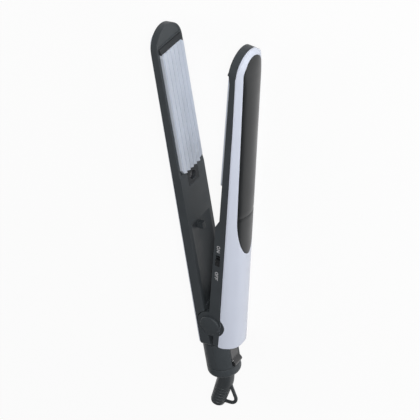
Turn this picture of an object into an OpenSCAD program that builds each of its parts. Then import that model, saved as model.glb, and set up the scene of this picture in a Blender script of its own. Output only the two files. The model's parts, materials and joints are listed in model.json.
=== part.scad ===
// Hair waver: two hinged tongs with interlocking ridged plates, a slide switch,
// a tail lock and a swivelling cord relief. It lies on its side: Z is the hinge pin,
// Y runs along the fixed arm to its tip and X points from the fixed arm to the moving arm.
// The origin is on the hinge pin, at the height of the surface it lies on.

/* [Arms] */
// Width of each arm, along the hinge pin
arm_w = 28; // [22:0.5:36]
// Distance from the hinge pin to the centre of the rounded tips
tip_c = 212; // [180:0.1:240]
// How far the moving arm opens from closed, in degrees
open_angle = 13; // [6:0.5:20]
// Distance from the hinge pin to the plane where the closed jaws meet
jaw_off = 2.25; // [1.8:0.05:2.8]
// Wall thickness of the frames and covers
wall = 2; // [1.6:0.1:2.6]
// Thickness of the frames' inner faces
floor_t = 2; // [1.4:0.1:2.6]
// Depth of the frame-to-cover seam from the jaw plane, at the tip
seam_tip = 6.8; // [5.5:0.1:8]
// Depth of the frame-to-cover seam from the jaw plane, at the hinge
seam_hinge = 9; // [8.4:0.1:11]
// Length of the fixed arm behind the hinge pin
heel_a = 22.4; // [20:0.1:27]
// Length of the moving arm behind the hinge pin
heel_b = 18.3; // [16:0.1:20]
// Depth of the fixed arm's inner face from the jaw plane
face_a = 1.35; // [1:0.05:2]
// Depth of the moving arm's inner handle face from the jaw plane
face_b = 0.5; // [0.3:0.05:1.2]
// Depth of the fixed arm's inner face beside the plate
jaw_face_a = 1.9; // [1.5:0.1:2.6]
// Depth of the moving arm's inner face beside the plate
jaw_face_b = 3.1; // [2.6:0.1:3.4]
// Depth of the moving arm's inner face at the tip
tip_face_b = 1.7; // [1.4:0.1:3]
// How far the inner faces lie below the rims around them
face_recess = 0.4; // [0.1:0.05:0.6]
// Width of those rims
rim_w = 1.3; // [0.8:0.1:1.6]
// Distance from the hinge pin to the end of the moving arm's deeper handle
wing_y = 89; // [80:0.5:100]

/* [Covers] */
// Height of the fixed arm's back above the jaw plane at the tip
crown_a_tip = 11.9; // [10.5:0.1:14]
// Height of the fixed arm's back above the jaw plane at the hinge
crown_a_hinge = 14.7; // [13.5:0.1:17]
// Radius of the fixed arm's flat back
round_a = 22.6; // [19:0.1:28]
// Height of the moving arm's back above the jaw plane at the tip
crown_b_tip = 14.2; // [12.5:0.1:17]
// Height of the moving arm's back above the jaw plane at the hinge
crown_b_hinge = 20.9; // [19:0.1:23]
// Radius of the moving arm's back at the tip
round_b_tip = 17.6; // [16:0.1:20]
// Radius of the moving arm's back at the hinge
round_b_hinge = 14.5; // [14.2:0.1:18]
// How far the fixed arm's cover stands in from the side of its frame
cover_in = 0.8; // [0.4:0.1:1.2]
// Radius of the nose that rounds off the fixed arm's back over its tip
nose_a = 41; // [38:1:60]
// Radius of the nose that rounds off the moving arm's back over its tip
nose_b = 36; // [30:1:50]
// Radius of the moving arm's rounded outer heel corner
heel_round = 1.2; // [0.8:0.1:4]

/* [Inlays] */
// Half width of the inlays at the tip
inlay_tip = 10.3; // [7:0.1:11.2]
// Half width of the inlays where their rounded end starts
inlay_hw = 9.9; // [7:0.1:11]
// Distance from the hinge pin to the pointed end of the inlays
inlay_y0 = 65; // [50:0.5:90]
// Length of the inlays' rounded end
inlay_end = 34; // [20:0.5:45]
// Distance from the hinge pin to the joint between the two inlay pieces
inlay_split = 98.5; // [97:0.5:140]
// Thickness of the inlays
inlay_t = 1; // [0.6:0.1:1.2]
// Gap around and between the inlay pieces
inlay_gap = 0.15; // [0.05:0.05:0.3]

/* [Plates] */
// Length of the plates
plate_l = 90; // [60:1:110]
// Distance from the hinge pin to the far end of the plates
plate_far = 210.5; // [190:0.5:214]
// Distance between neighbouring ridges
ridge_pitch = 3.85; // [2.8:0.05:4.2]
// Ridges on the fixed arm's plate; the moving arm's plate has one fewer
ridges = 7; // [5:1:9]
// Height of the ridges
ridge_h = 1.2; // [0.8:0.1:2]
// Gap left between the meshing ridges when the jaws are closed
mesh_gap = 0.5; // [0.3:0.05:1]
// Thickness of the plates under the ridges
plate_t = 2; // [1.5:0.1:3]
// Gap between a plate's carrier and the frame around it
carrier_gap = 0.1; // [0.05:0.05:0.3]
// Length of the carriers' end bars beyond the plates
bar_l = 3.9; // [2:0.1:5]
// Depth of the fixed arm's end bar from the jaw plane
bar_a = 0.5; // [0.4:0.1:1]
// Depth of the moving arm's end bar from the jaw plane
bar_b = 0.2; // [-0.2:0.1:0.4]
// Thickness of the heater behind each plate
heater_t = 2.4; // [1.6:0.1:3]
// Width of the screw tab below each plate
tab_w = 12.2; // [9:0.1:15]
// Length of the screw tab below each plate
tab_l = 12; // [9:0.1:14]
// Radius of the screw hole in the tab
tab_hole_r = 3.1; // [2.6:0.1:3.6]

/* [Hinge] */
// Radius of the hinge pin
pin_r = 3; // [2:0.1:4]
// Running clearance around the pin, on the radius
pin_clear = 0.05; // [0.02:0.01:0.09]
// Radius of the round bosses of the moving arm
boss_r = 10.4; // [9:0.1:11]
// Gap between the bosses and the fixed arm
boss_gap = 0.5; // [0.3:0.1:1]
// Thickness of the moving arm's hinge cheeks
cheek_t = 3.8; // [3:0.1:5]
// Radius of the fixed arm's hinge barrel
barrel_r = 7.4; // [6:0.1:8]
// Side gap between the barrel and the cheeks
barrel_gap = 0.3; // [0.15:0.05:0.6]
// Radius of the upper hinge cap
cap_r = 7.4; // [6:0.1:8.8]
// How far the upper hinge cap stands out from the arms
cap_h = 2.6; // [1.6:0.1:3.5]
// How far the dome of the upper hinge cap rises
dome = 0.7; // [0.2:0.1:1]
// Radius of the lower hinge cap
foot_r = 8.4; // [7:0.1:9]
// How far the lower hinge cap stands out from the arms
foot_h = 1.9; // [1.2:0.1:3]
// Wire radius of the return spring
wire_r = 0.65; // [0.4:0.05:0.8]

/* [Tail] */
// Radius of the tail collar
tail_r = 12.1; // [11:0.1:13.5]
// Distance of the collar's centre line from the jaw plane, into the fixed arm
tail_in = 3.1; // [2:0.1:4]
// Distance from the hinge pin to the end of the collar
tail_end = 43.3; // [41:0.1:55]
// Distance from the hinge pin to the near end of the collar's cover
tail_top = 21.4; // [20.5:0.1:24]
// Length of the end cap
cap_l = 8.2; // [6:0.1:10]
// Rounding of the end cap
cap_round = 3.8; // [2:0.1:4.5]
// Radius of the swivel stem in the end cap
stem_r = 5.4; // [4.6:0.1:6.5]
// Running clearance around the swivel stem, on the radius
stem_clear = 0.06; // [0.02:0.01:0.09]

/* [Lock] */
// Width of the lock slider's grip
lock_w = 9; // [7:0.1:10]
// Travel of the lock slider
lock_travel = 3.5; // [2.8:0.1:3.8]
// Thickness of the tongue that holds the heel
tongue_t = 1.7; // [1.2:0.1:1.8]

/* [Switch] */
// Distance from the hinge pin to the middle of the switch slot
switch_y = 60.2; // [50:0.5:70]
// Depth of the switch's centre line from the jaw plane
switch_d = 4; // [3.5:0.1:6]
// Length of the switch slot
slot_l = 9.4; // [8:0.1:14]
// Width of the switch slot
slot_w = 3.4; // [2.6:0.1:5]
// Length of the knob in the slot
knob_l = 5.4; // [4:0.1:8]
// Height of the ON and OFF letters
letter_h = 2.5; // [1.8:0.1:3]
// Stroke width of the letters
stroke = 0.38; // [0.25:0.01:0.5]

/* [Cord relief] */
// Diameter of the cord that the relief takes
cord_d = 6; // [4:0.1:8]
// Gap around the cord in its bore, on the radius
cord_gap = 0.1; // [0.05:0.05:0.3]
// Radius of the relief's neck
neck_r = 6.1; // [5.6:0.1:8]
// Radius of the relief at its far end
relief_end_r = 5.5; // [5:0.1:7]
// Straight length of the neck
neck_l = 2.4; // [2.2:0.1:8]
// Bend of the relief, in degrees
relief_bend = 24; // [1:0.5:32]
// Radius of the bend
bend_r = 22; // [16:1:40]
// Length of the relief after the bend
relief_l = 22.5; // [22:0.5:34]
// Number of ribs on the relief
ribs = 6; // [3:1:6]
// Distance between neighbouring ribs
rib_pitch = 3.3; // [2.4:0.1:3.4]
// Radius of the hanging loop's strand
loop_r = 1.3; // [1:0.1:1.6]

/* [Hidden] */
$fn = 72;
e = 0.01;
half = arm_w / 2;
rest_z = half + foot_h;
tip_end = tip_c + half;
back_y = -32;
crest = -(ridge_h - mesh_gap) / 2;
valley = crest + ridge_h;
plate_back = valley + plate_t;
plate_near = plate_far - plate_l;
pocket_hw = half - wall;
carrier_hw = pocket_hw - carrier_gap;
plate_hw = min((ridges - 1) / 2 * ridge_pitch + 0.15, carrier_hw);
carrier_far = plate_far + 0.15 + bar_l;
tab_near = plate_near - tab_l;
carrier_step = seam_tip - 0.6;
carrier_back = plate_back + heater_t + 2.2;
back_hw = 8.5;
hole_y = plate_near - tab_l / 2 - 0.6;
floor_a = face_a + floor_t + 1.6;
floor_b = face_b + floor_t + 1.6;
lead_r = 0.75;
lead_x = plate_back + heater_t + lead_r;
lead_z = 3.6;
boss_z = half - cheek_t;
barrel_z = boss_z - barrel_gap;
heel_face = 5.15;
heel_floor = 1.4;
tail_x = -jaw_off - tail_in;
tail_in_r = tail_r - wall;
split_x = -jaw_off - face_a;
cap_top = tail_end + 0.6;
cap_end = cap_top + cap_l;
flange_y = cap_top - 1;
rec_hw = lock_w / 2 + 0.4;
rec_x = tail_x + tail_r - 2.3;
rec_lo = tail_end - 0.7;
lock_lo = rec_lo - 0.2;
lock_hi = tail_top + 0.4 + lock_travel;
tongue_x1 = heel_face - jaw_off - 0.3;
tongue_x0 = tongue_x1 - tongue_t;
post_z = -tail_in_r + 2.2;
post_hw = 2.6;
stem_in = 2.2;
bore_r = cord_d / 2 + cord_gap;
neck_y = cap_end + 0.2;
bend_y = neck_y + neck_l;
bend_c = tail_x - bend_r;
stem_end = neck_y + stem_in;
out_x = bend_c + bend_r * cos(relief_bend);
out_y = -bend_y - bend_r * sin(relief_bend);
coil_r = pin_r + wire_r + 0.3;
lug_y = 73.9;
lug_l = 4.8;
lug_w = 3;
lug_top = -0.6;
post_r = 3;
screw_r = 1.4;

dark = [0.27, 0.29, 0.30];
black = [0.15, 0.16, 0.17];
lilac = [0.80, 0.81, 0.86];
metal = [0.80, 0.80, 0.86];
steel = [0.62, 0.62, 0.64];

function seam(y) = seam_tip + (seam_hinge - seam_tip) * (tip_c - y) / tip_c;
function line_at(tip, hinge, y) = hinge + (tip - hinge) * y / tip_c;

// Raises a piece to the height at which the waver lies.
module lay() {
    translate([0, 0, rest_z]) children();
}

// Places a piece of the fixed arm: x becomes the depth behind the jaw plane.
module arm_a() {
    lay() translate([-jaw_off, 0, 0]) mirror([1, 0, 0]) children();
}

// Places a piece of the moving arm, open by open_angle.
module arm_b() {
    lay() rotate([0, 0, -open_angle]) translate([-jaw_off, 0, 0]) children();
}

// A box given by its low and high corner.
module box(a, b) {
    translate(a) cube([b[0] - a[0], b[1] - a[1], b[2] - a[2]]);
}

// A cylinder along Y from y0 to y1.
module rod_y(x, y0, y1, z, r) {
    translate([x, y0, z]) rotate([-90, 0, 0]) cylinder(h = y1 - y0, r = r);
}

// A cylinder along X from x0 to x1.
module rod_x(x0, x1, y, z, r) {
    translate([x0, y, z]) rotate([0, 90, 0]) cylinder(h = x1 - x0, r = r);
}

// A side profile in X and Y, made hw wide each way along Z.
module side(points, hw) {
    linear_extrude(height = 2 * hw, center = true) polygon(points);
}

// Outline of an arm seen from its face, swept along X from x0 to x1.
module outline(x0, x1, hw, heel, corner) {
    translate([x0, 0, 0]) rotate([90, 0, 90]) linear_extrude(height = x1 - x0) union() {
        translate([-heel + corner, -hw]) square([tip_c + heel - corner, 2 * hw]);
        translate([-heel, -hw + corner]) square([corner + e, 2 * (hw - corner)]);
        for (s = [-1, 1]) translate([-heel + corner, s * (hw - corner)]) circle(r = corner);
        translate([tip_c, 0]) circle(r = hw);
    }
}

// Rounded back of an arm: a long cone, cut down over the tip by a large sphere.
module back(tip, hinge, r_tip, r_hinge, nose, inset) {
    y1 = tip_end + 4;
    r0 = line_at(r_tip, r_hinge, back_y);
    r1 = line_at(r_tip, r_hinge, y1);
    c0 = line_at(tip, hinge, back_y) - r0;
    c1 = line_at(tip, hinge, y1) - r1;
    h = sqrt((y1 - back_y) * (y1 - back_y) + (c1 - c0) * (c1 - c0));
    intersection() {
        translate([c0, back_y, 0]) rotate([0, 0, -atan2(c1 - c0, y1 - back_y)]) rotate([-90, 0, 0])
            cylinder(h = h, r1 = r0 - inset, r2 = r1 - inset, $fn = 144);
        union() {
            translate([tip - nose, tip_c - 6, 0]) sphere(r = nose - inset, $fn = 180);
            box([-60, back_y - 1, -30], [40, tip_c - 6, 30]);
        }
    }
}

module back_a(inset) {
    back(crown_a_tip, crown_a_hinge, round_a, round_a, nose_a, inset);
}

module back_b(inset) {
    back(crown_b_tip, crown_b_hinge, round_b_tip, round_b_hinge, nose_b, inset);
}

// Everything of an arm above its seam.
module above_seam(heel, hw) {
    side([[seam(-heel - 1), -heel - 1], [60, -heel - 1], [60, tip_end + 1],
        [seam(tip_end + 1), tip_end + 1]], hw);
}

// Face outline of the inlay, grown by g: a long point, spreading sides and a round tip.
module inlay_area(g) {
    n = 36;
    hw = inlay_hw + g;
    tip = inlay_tip + g;
    y1 = inlay_y0 + inlay_end;
    low = [for (i = [0 : n]) [y1 - (inlay_end + g) * sin(180 * i / n), -hw * cos(180 * i / n)]];
    high = [for (i = [0 : n]) [tip_c + tip * sin(180 * i / n), tip * cos(180 * i / n)]];
    translate([1, 0, 0]) rotate([90, 0, 90]) linear_extrude(height = 40) polygon(concat(low, high));
}

// One ridged plate with n ridges, offset by half a pitch where n is even.
module plate(n) {
    k0 = -(n - 1) / 2;
    top = [for (i = [0 : n - 1]) for (p = [[-0.5, valley], [-0.04, crest], [0.04, crest]])
        [p[1], (k0 + i + p[0]) * ridge_pitch]];
    inner = [for (p = top) if (abs(p[1]) < plate_hw - 0.1) p];
    edge = n == ridges ? crest + 0.1 : valley;
    intersection() {
        translate([0, plate_near, 0]) rotate([-90, 0, 0]) linear_extrude(height = plate_l)
            polygon(concat([[plate_back, -plate_hw], [edge + 0.25, -plate_hw], [edge, -plate_hw + 0.2]],
                inner, [[edge, plate_hw - 0.2], [edge + 0.25, plate_hw], [plate_back, plate_hw]]));
        translate([-5, 0, 0]) rotate([90, 0, 90]) linear_extrude(height = 20) polygon([
            [plate_near + 3.5, -plate_hw - 1], [plate_far - 2.2, -plate_hw - 1], [plate_far, -plate_hw + 1.2],
            [plate_far, plate_hw - 1.2], [plate_far - 2.2, plate_hw + 1], [plate_near + 3.5, plate_hw + 1],
            [plate_near, plate_hw - 2.5], [plate_near, -plate_hw + 2.5]]);
    }
}

// Plate carrier: stepped block with the heater's pocket, an end bar of depth bar, and the screw tab.
module carrier(bar, bar_face, tab_face) {
    difference() {
        union() {
            box([plate_back, plate_near, -carrier_hw], [carrier_step, carrier_far, carrier_hw]);
            box([plate_back, plate_near, -back_hw], [carrier_back, carrier_far, back_hw]);
            side([[plate_back + e, plate_far + 0.15], [bar, plate_far + 0.15], [bar, plate_far + 1.2],
                [bar + 0.7, carrier_far - 0.2], [bar_face, carrier_far], [plate_back + e, carrier_far]],
                carrier_hw);
            box([tab_face, tab_near, -tab_w / 2], [carrier_back, plate_near + 1, tab_w / 2]);
        }
        box([plate_back - 1, plate_near + 8, -7.2], [plate_back + heater_t, plate_far - 8, 7.2]);
        box([plate_back - 6, plate_near - 0.1, -carrier_hw - 1], [plate_back, plate_far + 0.1, carrier_hw + 1]);
        rod_x(-5, carrier_back - 2, hole_y, 0, tab_hole_r);
        rod_x(-5, 30, hole_y, 0, screw_r + 0.3);
        for (s = [-1, 1]) box([lead_x - lead_r, tab_near - 2, s * lead_z - 0.9],
            [carrier_back + 1, plate_near + 15, s * lead_z + 0.9]);
    }
}

module heater() {
    box([plate_back, plate_near + 9, -7], [plate_back + heater_t, plate_far - 9, 7]);
}

// Silicone pads between a carrier and the ribs of its cover.
module pads() {
    for (y = [plate_near + 20, plate_far - 20])
        box([carrier_back, y - 4, -4], [carrier_back + 0.8, y + 4, 4]);
}

// Pan-head screw through a carrier's tab into its cover's post.
module tab_screw() {
    rod_x(carrier_back - 4, carrier_back - 2, hole_y, 0, 2.5);
    rod_x(carrier_back - 2 - e, carrier_back + 3, hole_y, 0, screw_r);
}

// Two insulated leads that run to the back of a heater.
module leads(y0) {
    for (s = [-1, 1]) rod_y(lead_x, y0, plate_near + 14, s * lead_z, lead_r);
}

// Tray of an arm: side walls around its edge and an inner face of depths face_in and jaw.
module tray(face_profile, heel, corner, handle_floor, jaw) {
    difference() {
        intersection() {
            outline(-6, 40, half, heel, corner);
            side(face_profile, half + 1);
        }
        intersection() {
            outline(-8, 60, half - wall, heel - wall, max(corner - wall, 0.5));
            side([[floor_t + jaw, tip_end + 2], [floor_t + jaw, tab_near - 2],
                [handle_floor, tab_near - 2], [handle_floor, -heel - 2],
                [60, -heel - 2], [60, tip_end + 2]], half);
        }
        difference() {
            outline(-6, jaw + face_recess, half - rim_w, 0, 1);
            box([-8, -20, -half], [12, carrier_far + 1, half]);
        }
    }
}

// Inside of a cover: ribs for the pads and the screw post.
module cover_inside() {
    for (y = [plate_near + 20, plate_far - 20])
        box([carrier_back + 0.8, y - 2, -pocket_hw + 2], [carrier_back + 9, y + 2, pocket_hw - 2]);
    rod_x(carrier_back, carrier_back + 9, hole_y, 0, post_r);
}

module arm_a_frame() {
    color(dark) arm_a() difference() {
        union() {
            difference() {
                tray([[face_a, -heel_a], [seam(-heel_a), -heel_a], [seam(tip_end), tip_end],
                    [jaw_face_a, tip_end], [jaw_face_a, plate_near], [face_a, plate_near - 3]],
                    heel_a, 5, floor_a, jaw_face_a);
                jaw_opening();
                scoop();
            }
            barrel_block();
            box([lug_top, lug_y - lug_l / 2, -lug_w / 2], [floor_a - 0.5, lug_y + lug_l / 2, lug_w / 2]);
            tail_half();
        }
        rod_z(-jaw_off, pin_r, 2 * half);
        for (s = [-1, 1]) translate([-jaw_off, 0, s * (barrel_z + 10)])
            cylinder(h = 20, r = boss_r + boss_gap, center = true);
        translate([-jaw_off, 0, 0]) cylinder(h = 9.2, r = coil_r + wire_r + 0.5, center = true);
        box([face_a - 4, 0, 1.4], [coil_r + wire_r - jaw_off, 17, 3.3]);
        box([lead_x - 1.1, -heel_a - wall - 1, -lead_z - 1.2],
            [lead_x + 1.1, -heel_a + wall + 1, lead_z + 1.2]);
        box([-jaw_off - barrel_r - 1, 0, -3.1], [-jaw_off - coil_r + wire_r, 14, -1.7]);
    }
}

// A hole along Z through the whole width.
module rod_z(x, r, w) {
    translate([x, 0, 0]) cylinder(h = w + 2, r = r, center = true);
}

// Opening in a frame's face for the plate carrier and its tab.
module jaw_opening() {
    box([-6, plate_near - carrier_gap, -pocket_hw], [12, carrier_far + carrier_gap, pocket_hw]);
    box([-6, tab_near - carrier_gap, -tab_w / 2 - carrier_gap], [12, plate_near + 1, tab_w / 2 + carrier_gap]);
}

// Hinge barrel of the fixed arm and the web that carries it.
module barrel_block() {
    translate([-jaw_off, 0, 0]) cylinder(h = 2 * barrel_z, r = barrel_r, center = true);
    box([-jaw_off, -barrel_r, -barrel_z], [floor_a, barrel_r, barrel_z]);
}

// Long shallow finger channel in the fixed arm's inner face.
module scoop() {
    intersection() {
        rod_y(-24.4, 13, 86, 0, 28);
        box([-10, 13, -11.5], [10, 86, 11.5]);
        side([[-10, 12], [10, 12], [10, 77], [-10, 85]], half);
    }
}

// Half of the tail collar that is one piece with the fixed arm's frame, with its screw posts.
module tail_half() {
    difference() {
        intersection() {
            rod_y(tail_in, -tail_end, -heel_a + e, 0, tail_r);
            box([face_a, -tail_end, -half], [40, -heel_a + e, half]);
        }
        difference() {
            rod_y(tail_in, -tail_end - 1, -heel_a - wall, 0, tail_in_r);
            box([face_a, -32, post_z - 5], [face_a + 6, -27, post_z + post_hw]);
            box([face_a, -40.5, post_z - 5], [face_a + 6, -35.5, post_z + post_hw]);
        }
        for (y = [-29.5, -38]) rod_x(face_a - 1, face_a + 5, y, post_z, screw_r);
    }
}

module arm_a_cover() {
    color(lilac) arm_a() difference() {
        intersection() {
            outline(0, 60, half - cover_in, heel_a, 5);
            back_a(0);
            above_seam(heel_a, half);
        }
        difference() {
            intersection() {
                outline(0, 60, half - cover_in - wall, heel_a - wall, 3);
                back_a(wall);
            }
            cover_inside();
        }
        inlay_recess() back_a(inlay_t);
        rod_x(0, carrier_back + 5, hole_y, 0, screw_r);
    }
}

// The band of a cover's skin that the inlay takes up.
module inlay_recess() {
    difference() {
        inlay_area(inlay_gap);
        children();
    }
}

// One inlay piece between y0 and y1.
module inlay(y0, y1) {
    difference() {
        intersection() {
            inlay_area(0);
            box([0, y0, -half], [50, y1, half]);
            children(0);
        }
        children(1);
    }
}

module arm_a_inlay_front() {
    color(black) arm_a() inlay(inlay_split + inlay_gap, 300) {
        back_a(0);
        back_a(inlay_t);
    }
}

module arm_a_inlay_rear() {
    color(black) arm_a() inlay(0, inlay_split - inlay_gap) {
        back_a(0);
        back_a(inlay_t);
    }
}

module plate_a() {
    color(metal) arm_a() plate(ridges);
}

module carrier_a() {
    color(black) arm_a() carrier(bar_a, jaw_face_a, face_a + 0.1);
}

module heater_a() {
    color(steel) arm_a() heater();
}

module pads_a() {
    color([0.75, 0.3, 0.2]) arm_a() pads();
}

module screw_a() {
    color(steel) arm_a() tab_screw();
}

module leads_a() {
    color([0.85, 0.85, 0.82]) arm_a() leads(-flange_y + 5.2);
}

module arm_b_frame() {
    hy = -barrel_r - 1.6;
    color(dark) arm_b() difference() {
        union() {
            difference() {
                tray([[heel_face, -heel_b], [seam(-heel_b), -heel_b], [seam(tip_end), tip_end],
                    [tip_face_b, tip_end], [tip_face_b, carrier_far], [jaw_face_b, carrier_far - 8],
                    [jaw_face_b, wing_y + 5.8], [face_b, wing_y], [face_b, hy + 3],
                    [heel_face, hy]], heel_b, 0.6, floor_b, jaw_face_b);
                box([-6, -barrel_r - 5, -boss_z], [heel_face + heel_floor + 3, barrel_r + 5, boss_z]);
                box([heel_face + heel_floor, -heel_b - 1, -pocket_hw], [7.6, hy, pocket_hw]);
            }
            box([heel_face, -heel_b, -pocket_hw - 1], [heel_face + heel_floor, -barrel_r - 5 + e, pocket_hw + 1]);
            for (s = [-1, 1]) cheek(s);
            for (y = [27, 82]) rod_x(face_b + 1, 8.2, y, 0, 2.4);
            box([floor_b - e, barrel_r + 6, -4], [jaw_off + coil_r - wire_r + 0.1, barrel_r + 8.4, -1]);
        }
        jaw_opening();
        for (s = [-1, 1]) translate([jaw_off, 0, s * (boss_z + cheek_t / 2)])
            cylinder(h = cheek_t + 2, r = pin_r + pin_clear, center = true);
        box([-2, lug_y - lug_l / 2 - 0.6, -lug_w / 2 - 0.6], [6, lug_y + lug_l / 2 + 0.6, lug_w / 2 + 0.6]);
        box([switch_d - slot_w / 2, switch_y - slot_l / 2, 0], [switch_d + slot_w / 2, switch_y + slot_l / 2, half + 1]);
        box([switch_d - slot_w / 2 - 0.2, switch_y - 8.1, half - wall - 7.5], [8.2, switch_y + 8.1, half - wall]);
        box([heel_face + heel_floor, -heel_b - 1, -5.4], [14, -heel_b + wall + 2, 5.4]);
    }
}

// Round hinge cheek of the moving arm on side s.
module cheek(s) {
    z0 = min(s * boss_z, s * half);
    translate([jaw_off, 0, z0]) cylinder(h = cheek_t, r = boss_r);
    box([jaw_off, -boss_r + 3, z0], [seam(0) - 0.2, boss_r - 3, z0 + cheek_t]);
}

module arm_b_cover() {
    color(lilac) arm_b() difference() {
        intersection() {
            outline(0, 60, half, heel_b, 0.6);
            back_b(0);
            above_seam(heel_b, half + 1);
            heel_block();
        }
        difference() {
            intersection() {
                outline(0, 60, half - wall, heel_b - wall, 0.5);
                back_b(wall);
            }
            cover_inside();
        }
        inlay_recess() back_b(inlay_t);
        rod_x(0, carrier_back + 5, hole_y, 0, screw_r);
        rod_z(jaw_off, boss_r + 0.25, 2 * half);
        box([0, -heel_b - 1, -5.4], [14, -heel_b + wall + 1, 5.4]);
    }
}

// Limits the moving arm's cover to its rounded outer heel.
module heel_block() {
    x1 = line_at(crown_b_tip, crown_b_hinge, -heel_b);
    linear_extrude(height = 4 * half, center = true) union() {
        translate([-1, -heel_b + heel_round]) square([60, tip_end + heel_b + 5]);
        translate([-1, -heel_b]) square([x1 - heel_round + 1, heel_round + e]);
        translate([x1 - heel_round, -heel_b + heel_round]) circle(r = heel_round);
    }
}

module arm_b_inlay_front() {
    color(black) arm_b() inlay(inlay_split + inlay_gap, 300) {
        back_b(0);
        back_b(inlay_t);
    }
}

module arm_b_inlay_rear() {
    color(black) arm_b() inlay(0, inlay_split - inlay_gap) {
        back_b(0);
        back_b(inlay_t);
    }
}

module plate_b() {
    color(metal) arm_b() plate(ridges - 1);
}

module carrier_b() {
    color(black) arm_b() carrier(bar_b, plate_back - 0.2, jaw_face_b - 0.4);
}

module heater_b() {
    color(steel) arm_b() heater();
}

module pads_b() {
    color([0.75, 0.3, 0.2]) arm_b() pads();
}

module screw_b() {
    color(steel) arm_b() tab_screw();
}

module leads_b() {
    color([0.85, 0.85, 0.82]) arm_b() leads(86);
}

// Slide knob, at its OFF end: stem with grip ridges and a plate behind the wall.
module switch_knob() {
    y0 = switch_y - slot_l / 2 + 0.1;
    z0 = half - wall;
    color(black) arm_b() {
        difference() {
            box([switch_d - slot_w / 2 + 0.1, y0, z0 - 1], [switch_d + slot_w / 2 - 0.1, y0 + knob_l, half + 0.5]);
            for (k = [1 : 4]) box([switch_d - slot_w, y0 + k * knob_l / 5 - 0.25, half + 0.05],
                [switch_d + slot_w, y0 + k * knob_l / 5 + 0.25, half + 1]);
        }
        box([switch_d - slot_w / 2 + 0.1, y0 - 0.6, z0 - 1.1], [switch_d + slot_w / 2 - 0.1, y0 + knob_l + 0.6, z0 - 0.1]);
    }
}

module switch_body() {
    z1 = half - wall - 1.4;
    color(black) arm_b() difference() {
        box([switch_d - slot_w / 2, switch_y - 8, z1 - 6], [8.2, switch_y + 8, z1]);
        box([switch_d - 0.8, switch_y - 4, z1 - 1.5], [switch_d + 0.8, switch_y + 4, z1 + 1]);
    }
}

// Letters ON and OFF beside the switch, read with the tip to the left.
module switch_legend() {
    x0 = switch_d - letter_h / 2;
    color([0.93, 0.93, 0.93]) arm_b() translate([x0, 0, half]) linear_extrude(height = 0.12) {
        letter_o(switch_y + 13.2);
        letter_n(switch_y + 10);
        letter_o(switch_y - 10.2);
        letter_f(switch_y - 13);
        letter_f(switch_y - 15.4);
    }
}

// Letters start at y and run towards the hinge, 2.4 long and letter_h high.
module letter_o(y) {
    translate([letter_h / 2, y - 1.2]) difference() {
        circle(r = letter_h / 2);
        circle(r = letter_h / 2 - stroke);
    }
}

module letter_n(y) {
    translate([0, y - stroke]) square([letter_h, stroke]);
    translate([0, y - 2.4]) square([letter_h, stroke]);
    polygon([[letter_h, y], [letter_h - 0.6, y], [0, y - 2.4], [0.6, y - 2.4]]);
}

module letter_f(y) {
    translate([0, y - stroke]) square([letter_h, stroke]);
    translate([letter_h - stroke, y - 1.9]) square([stroke, 1.9]);
    translate([letter_h / 2 - 0.2, y - 1.6]) square([stroke, 1.6]);
}

module control_board() {
    color([0.10, 0.35, 0.18]) arm_b() {
        box([8.2, 22, -9], [9.8, 88, 9]);
        box([9.8 - e, 34, -5], [12.5, 44, 5]);
        rod_x(9.8 - e, 14, 60, -4, 3);
        for (s = [-1, 1]) box([lead_x - lead_r, 80, s * 4.2 - 1.2], [8.2 + e, 86, s * 4.2 + 1.2]);
    }
}

module hinge_pin() {
    color(steel) lay() translate([0, 0, -half + 0.4]) cylinder(h = arm_w - 0.8, r = pin_r);
}

// Domed cap with a rounded edge on the upper end of the pin.
module hinge_cap_top() {
    h = cap_h - 0.2 - dome;
    flat_r = cap_r - 0.7;
    dome_r = (flat_r * flat_r + dome * dome) / (2 * dome);
    color(dark) lay() translate([0, 0, half + 0.2]) union() {
        rotate_extrude() union() {
            square([cap_r, h - 0.7]);
            square([flat_r, h]);
            intersection() {
                translate([flat_r, h - 0.7]) circle(r = 0.7);
                square([cap_r, h]);
            }
            intersection() {
                translate([0, h + dome - dome_r]) circle(r = dome_r, $fn = 400);
                translate([0, h - e]) square([flat_r, dome + 1]);
            }
        }
        translate([0, 0, -0.6]) cylinder(h = 0.7, r = pin_r - 0.1);
    }
}

module hinge_cap_bottom() {
    color(dark) lay() translate([0, 0, -half - foot_h]) union() {
        cylinder(h = foot_h - 0.2, r = foot_r);
        translate([0, 0, foot_h - 0.3]) cylinder(h = 0.7, r = pin_r - 0.1);
    }
}

// Close-wound return spring with one leg on each arm.
module return_spring() {
    n = 5;
    step = 2 * wire_r - 0.12;
    color(steel) lay() union() {
        rotate_extrude() for (k = [0 : n - 1]) translate([coil_r, (k - (n - 1) / 2) * step]) circle(r = wire_r);
        rod_y(-coil_r, -0.5, 15.5, (n - 1) / 2 * step, wire_r - 0.1);
        rotate([0, 0, -open_angle]) rod_y(coil_r, -0.5, 16, -(n - 1) / 2 * step, wire_r - 0.1);
    }
}

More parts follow.
